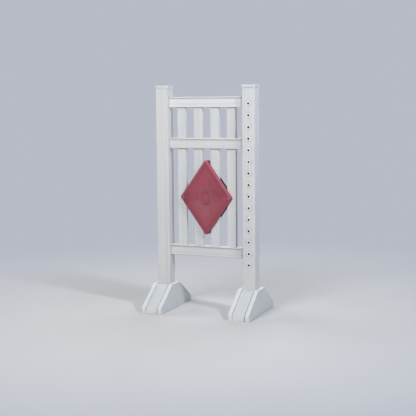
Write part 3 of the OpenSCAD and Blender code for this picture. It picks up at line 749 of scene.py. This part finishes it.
def ribSurfaces(plan, right, top):
    # ribs from the middle of one wall to the other: upright ones behind the middle slats, level
    # ones evenly spaced; a wall lies square to (across, upward), and only the level rib in the
    # middle ends in a rounded corner
    across, upward = np.array([top, right]) / np.hypot(top, right)
    seat, ribs = plan["corner"] - plan["wall"] / 2, []
    for x in (-ribPlan["x"], ribPlan["x"]):
        along, rise, off = ribPlate(plan, top + (seat - abs(x) * across) / upward, 1 / upward)
        ribs.append(np.stack([x + off, along, rise], axis=-1))
    for level in ribPlan["pitch"] * np.arange(-plan["ribRows"], plan["ribRows"] + 1):
        reach = seat if level == 0 else (seat - abs(level) * upward) / across
        along, rise, off = ribPlate(plan, right + reach, 1 if level == 0 else 1 / across)
        ribs.append(np.stack([along, level + off, rise], axis=-1)[::-1])
    return ribs


def bossTubes(plan):
    # round each bolt, a tube turned from a closed profile, from the open back up into the face
    boss, bore, top = plan["boss"], plan["bossBore"], plan["depth"] - plan["wall"] / 2
    tube = turnedRows([(boss, 0), (boss, top), (bore, top), (bore, 0)], plan["bossColumns"])
    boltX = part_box("diamond_bolts")[1][0] - diamondBoltPlan["head"]
    return [tube + np.array([x, 0, 0]) for x in (-boltX, boltX)]


for side, back in (("front", 1), ("rear", 0)):
    box = np.array(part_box(side + "_diamond"))
    plan, spot = diamondPlan, [(0.0, box[back][1], ribPlan["middle"])]
    right, top = np.array([box[1][0], (box[1][2] - box[0][2]) / 2]) - plan["corner"]
    spine, outward = roundOutline([(right, 0), (0, top), (-right, 0), (0, -top)],
                                  plan["arcSteps"], plan["sideSteps"])
    rows = shellRows(plan)
    shell = manyGrids(placed(ringStack(spine, outward, rows), spot, [side]))
    oval = manyGrids(placed(ovalRim(plan), spot, [side]), closedRows=True)
    ribs = [manyGrids(placed(rib, spot, [side])) for rib in ribSurfaces(plan, right, top)]
    bosses = [manyGrids(placed(b, spot, [side]), closedRows=True) for b in bossTubes(plan)]
    inside = sum(len(corners) for corners, cells in ribs + bosses)
    # painted shade on the ribs and bosses inside the shell, none on the oval
    wearAndLightValues = [paintedLightGrid(plan, rows, outward).ravel(), np.zeros(len(oval[0])),
            np.full(inside, plan["hollow"])]
    makePiece(side + "Diamond", [shell, oval] + ribs + bosses, roseMoulding,
              [side + "_diamond"], sharpAngle=0.5, wearAndPaintedLight=np.concatenate(wearAndLightValues))


# Bolts, sleeve nuts and screws

recessPlan = {  # from the rim of the head to the point at the bottom of the driver's recess
    "grow": (1.1, 1.0, 0.94, 0.0), "lip": 0.0002, "tip": 0.0003,
    "rimWear": 0.35, "wearAndLightValues": (1.0, 1.0, 1.0, 0.6), "columns": 72, "domeSteps": 9,
}


def recessShape(recess, angle):
    # radius round the axis: a hexagon from its half width across flats, or a cross from its arms
    size = recess["size"]
    if recess["kind"] == "hex":
        return size / np.cos(np.mod(angle, np.pi / 3) - np.pi / 6)
    arm = np.minimum(np.abs(np.sin(angle)), np.abs(np.cos(angle)))
    return np.minimum(size, recess["arm"] / np.maximum(arm, recess["arm"] / size))


def fastener(profile, recess):
    # a turned body that ends at the rim of a driver's recess, whose walls follow its shape down
    # to a point
    plan, depth, rim = recessPlan, recess["depth"], len(profile) - 1
    angle = circleAngles(plan["columns"])
    body = turnedRows(profile, plan["columns"])
    shape = recessShape(recess, angle)[:, None] * outwardWays(angle)
    fall = profile[-1][1] - np.array([0.0, plan["lip"], depth, depth + plan["tip"]])
    pit = withHeights(np.array(plan["grow"])[:, None, None] * shape[None], fall)
    worn = np.concatenate([np.zeros(rim), [plan["rimWear"]], plan["wearAndLightValues"]])
    return np.concatenate([body, pit]), np.repeat(worn[:, None], plan["columns"], axis=1)


def makeFasteners(name, spots, ways, profile, recess, finish, node):
    # copies of one fastener, each worn round its recess, as one piece
    points, worn = fastener(profile, recess)
    wearAndLightShare = np.broadcast_to(worn, (len(spots),) + worn.shape)
    parts = [manyGrids(placed(points, spots, ways))]
    makePiece(name, parts, finish, [node], sharpAngle=0.7, wearAndPaintedLight=wearAndLightShare)


def panHead(plan):
    # a shank from its end up to a head with a domed edge: a quarter of an ellipse from rim to crown
    shank, head, rim, top = plan["shank"], plan["head"], plan["rim"], plan["height"]
    end, flat = -plan["length"], plan["flat"]
    t = np.linspace(0, np.pi / 2, recessPlan["domeSteps"])
    dome = np.stack([flat + (head - flat) * np.cos(t), rim + (top - rim) * np.sin(t)], axis=-1)
    return np.concatenate([[(0, end), (shank, end), (shank, 0), (head, 0)], dome])


footBoltPlan = {
    "head": 0.013, "height": 0.003, "rim": 0.0015, "flat": 0.0115, "shank": 0.005, "length": 0.07,
}
footNutPlan = dict(footBoltPlan, shank=0.0072, length=0.09)
footKey = {"kind": "hex", "size": 0.003, "depth": 0.0012}
boltLow, boltHigh = np.array(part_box("foot_bolts"))
outerFace, innerFace = boltHigh[0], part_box("right_foot_inner_plate")[0][0]
boltHeights = (boltLow[2] + footBoltPlan["head"], boltHigh[2] - footBoltPlan["head"])
outerSeat, innerSeat = outerFace - footBoltPlan["height"], innerFace + footBoltPlan["height"]
boltSpots = [(x, 0.0, z) for x in (-outerSeat, outerSeat) for z in boltHeights]
makeFasteners("footBolts", boltSpots, ["left", "left", "right", "right"], panHead(footBoltPlan),
              footKey, whiteCoat, "foot_bolts")
nutSpots = [(x, 0.0, z) for x in (-innerSeat, innerSeat) for z in boltHeights]
makeFasteners("footSleeveNuts", nutSpots, ["right", "right", "left", "left"],
              panHead(footNutPlan), footKey, whiteCoat, "foot_sleeve_nuts")

diamondNutPlan = dict(diamondBoltPlan, shank=0.0047, length=0.058)
diamondKey = {"kind": "hex", "size": 0.002, "depth": 0.002}
for side, name, node, shape, end, inward in (
        ("front", "diamondBolts", "diamond_bolts", diamondBoltPlan, 0, 1),
        ("rear", "diamondSleeveNuts", "diamond_sleeve_nuts", diamondNutPlan, 1, -1)):
    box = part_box(node)
    x, y = box[1][0] - shape["head"], box[end][1] + inward * shape["height"]
    spots = [(-x, y, ribPlan["middle"]), (x, y, ribPlan["middle"])]
    makeFasteners(name, spots, [side] * 2, panHead(shape), diamondKey, roseCoat,
                  node)

rampScrewPlan = {
    "head": 0.005, "shank": 0.0025, "cone": 0.0025, "length": 0.056, "point": 0.005,
    "flat": 0.004, "edgeIn": 0.0001, "edgeDrop": 0.0002, "topIn": 0.0003, "nearTop": 0.0002,
}
screwCross = {"kind": "cross", "size": 0.0028, "arm": 0.0007, "depth": 0.0018}


def countersunk(plan):
    # a point, a shank and a cone that opens to a flat head with an eased edge
    head, shank, end = plan["head"], plan["shank"], -plan["length"]
    return [(0, end), (shank, plan["point"] + end), (shank, -plan["cone"]),
            (head - plan["edgeIn"], -plan["edgeDrop"]), (head - plan["topIn"], 0),
            (plan["flat"], 0)]


# how far forward the high screws are, from the tops of their heads in the frame's own mesh
screwLow, screwHigh = np.array(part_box("ramp_screws"))
screwNode = frame["nodes"]["ramp_screws"]
screwMesh = np.empty(3 * len(screwNode.data.vertices))
screwNode.data.vertices.foreach_get("co", screwMesh)
turn = np.array(screwNode.matrix_world)
screwMesh = screwMesh.reshape(-1, 3) @ turn[:3, :3].T + turn[:3, 3]
highTops = screwMesh[screwMesh[:, 2] > screwHigh[2] - rampScrewPlan["nearTop"]]
highScrew = (np.abs(highTops[:, 1]).mean(), screwHigh[2] - rampScrewPlan["head"])
lowScrew = (-screwLow[1] - rampScrewPlan["head"], screwLow[2] + rampScrewPlan["head"])
screwSpots, screwWays = [], []
for face, way in ((outerFace, "right"), (innerFace, "left"),
                  (-innerFace, "right"), (-outerFace, "left")):
    for y, z in (lowScrew, highScrew):
        screwSpots += [(face, y, z), (face, -y, z)]
        screwWays += [way, way]
makeFasteners("rampScrews", screwSpots, screwWays, countersunk(rampScrewPlan), screwCross,
              whiteCoat, "ramp_screws")

railScrewPlan = {
    "head": 0.005, "height": 0.003, "rim": 0.0005, "flat": 0.0032, "shank": 0.0025, "length": 0.034,
}
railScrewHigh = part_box("rail_screws")[1]
x, y = railScrewHigh[0] - railScrewPlan["head"], railScrewHigh[1] - railScrewPlan["height"]
railHeights = [sum(corner[2] for corner in railBoxes[name]) / 2
               for name in ("bottom_rail", "middle_rail", "top_rail")]
railSpots = [(side * x, y, z) for side in (-1, 1) for z in railHeights]
makeFasteners("railScrews", railSpots, ["rear"] * len(railSpots), panHead(railScrewPlan),
              screwCross, whiteCoat, "rail_screws")
print("new pieces in place")


# Stage, light and camera

stageLook = {
    "floor": (0.848, 0.842, 0.846), "floorRoughness": 0.8, "floorSpecular": 0.15,
    "drift": {"waves": (1.2, 1.2, 1.2), "detail": 2.0}, "driftSpread": (0.3, 0.7), "driftTo": 0.97,
    "floorReach": 40.0, "fadeFrom": 0.8, "fadeTo": 3.2,
    "sky": (0.715, 0.735, 0.775), "ambient": (0.90, 0.95, 1.0), "ambientStrength": 0.17,
    "aim": (0.0, 0.0, 0.8),
}
lampPlan = {
    "front": {"place": (-0.4, -3.4, 3.05), "size": 1.5, "power": 84.0,
              "shade": (1.0, 0.982, 0.967)},
    "side": {"place": (3.66, -1.44, 3.55), "size": 0.5, "power": 93.0,
             "shade": (0.87, 0.94, 1.0)},
    "rear": {"place": (0.1, 4.2, 2.4), "size": 4.0, "power": 93.0,
             "shade": (0.97, 0.98, 1.0)},
    "left": {"place": (-4.0, 0.9, 2.2), "size": 2.6, "power": 62.0,
             "shade": (0.97, 0.98, 1.0)},
}


def seenDirectly(tree):
    # one for rays from the camera, off something shiny or through something clear, else nought
    path = putNode(tree, "ShaderNodeLightPath").outputs
    seen = either(tree, path["Is Camera Ray"], path["Is Glossy Ray"])
    return either(tree, seen, path["Is Transmission Ray"])


def floorFinish(name, look):
    # a matt floor with a slow drift of tone; far from the object it takes on the backdrop's own
    # colour, so that no edge shows between them
    material, tree, shader, place = startFinish(name)[:4]
    tone = toLinear(look["floor"])
    dim = tuple(look["driftTo"] * s for s in tone[:3]) + (1.0,)
    drift = remap(tree, noiseField(tree, place, **look["drift"]), *look["driftSpread"])
    tree.links.new(mixShades(tree, drift, tone, dim), shader.inputs["Base Color"])
    shader.inputs["Roughness"].default_value = look["floorRoughness"]
    shader.inputs["Specular IOR Level"].default_value = look["floorSpecular"]
    far = putNode(tree, "ShaderNodeVectorMath", {0: place}, operation="LENGTH").outputs["Value"]
    fade = times(tree, remap(tree, far, look["fadeFrom"], look["fadeTo"]), seenDirectly(tree))
    plain = {"Color": toLinear(look["sky"]), "Strength": 1.0}
    backdrop = putNode(tree, "ShaderNodeEmission", plain).outputs[0]
    mixed = {0: fade, 1: shader.outputs[0], 2: backdrop}
    faded = putNode(tree, "ShaderNodeMixShader", mixed)
    end = next(n for n in tree.nodes if n.type == "OUTPUT_MATERIAL")
    tree.links.new(faded.outputs[0], end.inputs[0])
    return material


reach = stageLook["floorReach"]
floorCorners = [(-reach, -reach, 0), (reach, -reach, 0), (reach, reach, 0), (-reach, reach, 0)]
floorMesh = bpy.data.meshes.new("paleFloor")
floorMesh.from_pydata(floorCorners, [], [(0, 1, 2, 3)])
floorMesh.materials.append(floorFinish("paleFloor", stageLook))
floor = bpy.data.objects.new("paleFloor", floorMesh)
scene.collection.objects.link(floor)


def hangSky(look):
    # a plain backdrop where it is seen, and a dim even glow for everything else
    world = bpy.data.worlds.new("studio")
    scene.world = world
    world.use_nodes = True
    tree = world.node_tree
    tree.nodes.clear()
    dim = {"Color": toLinear(look["ambient"]), "Strength": look["ambientStrength"]}
    plain = {"Color": toLinear(look["sky"]), "Strength": 1.0}
    glow = putNode(tree, "ShaderNodeBackground", dim).outputs[0]
    backdrop = putNode(tree, "ShaderNodeBackground", plain).outputs[0]
    mixed = {0: seenDirectly(tree), 1: glow, 2: backdrop}
    blend = putNode(tree, "ShaderNodeMixShader", mixed)
    tree.links.new(blend.outputs[0], putNode(tree, "ShaderNodeOutputWorld").inputs[0])


def putInScene(name, data, axes, place):
    # a lamp or camera whose own X, Y and Z point along the three axes
    turn = np.eye(4)
    turn[:3, :3] = np.stack(axes, axis=1)
    turn[:3, 3] = place
    thing = bpy.data.objects.new(name, data)
    thing.matrix_world = Matrix(turn)
    scene.collection.objects.link(thing)
    return thing


def hangLamp(name, lamp, aim):
    # a square soft box that faces a point: its -Z axis runs from the lamp to the point
    data = bpy.data.lights.new(name, "AREA")
    data.shape = "SQUARE"
    data.size = lamp["size"]
    data.energy = lamp["power"]
    data.color = lamp["shade"]
    back = unitRows(np.array(lamp["place"]) - np.array(aim))
    side = unitRows(np.cross((0.0, 0.0, 1.0), back))
    putInScene(name, data, [side, np.cross(back, side), back], lamp["place"])


hangSky(stageLook)
for name, lamp in lampPlan.items():
    hangLamp(name, lamp, stageLook["aim"])

photoView = {  # metres, radians, and the focal length and sensor in millimetres
    "place": (2.4076, -5.8094, 1.4593), "yaw": 0.39223, "pitch": 0.10122, "roll": 0.00851,
    "lens": 81.224, "sensor": 36.0,
    "shift": -0.04327,  # the photograph is cut from a taller frame: its posts stand nearly parallel
}


def placeCamera(view):
    # looks along the yaw and pitch, then rolls about that line; a camera's own -Z is forward and
    # +Y is up
    yaw, pitch, roll = view["yaw"], view["pitch"], view["roll"]
    level = np.cos(pitch)
    forward = np.array([-np.sin(yaw) * level, np.cos(yaw) * level, -np.sin(pitch)])
    right = np.array([np.cos(yaw), np.sin(yaw), 0.0])
    down = np.cross(forward, right)
    rolledRight = np.cos(roll) * right + np.sin(roll) * down
    rolledDown = np.cos(roll) * down - np.sin(roll) * right
    data = bpy.data.cameras.new("photoCamera")
    data.lens = view["lens"]
    data.sensor_width = view["sensor"]
    data.shift_y = view["shift"]
    axes = [rolledRight, -rolledDown, -forward]
    scene.camera = putInScene("photoCamera", data, axes, view["place"])


placeCamera(photoView)
scene.view_settings.view_transform = "Standard"
print("stage, light and camera set")
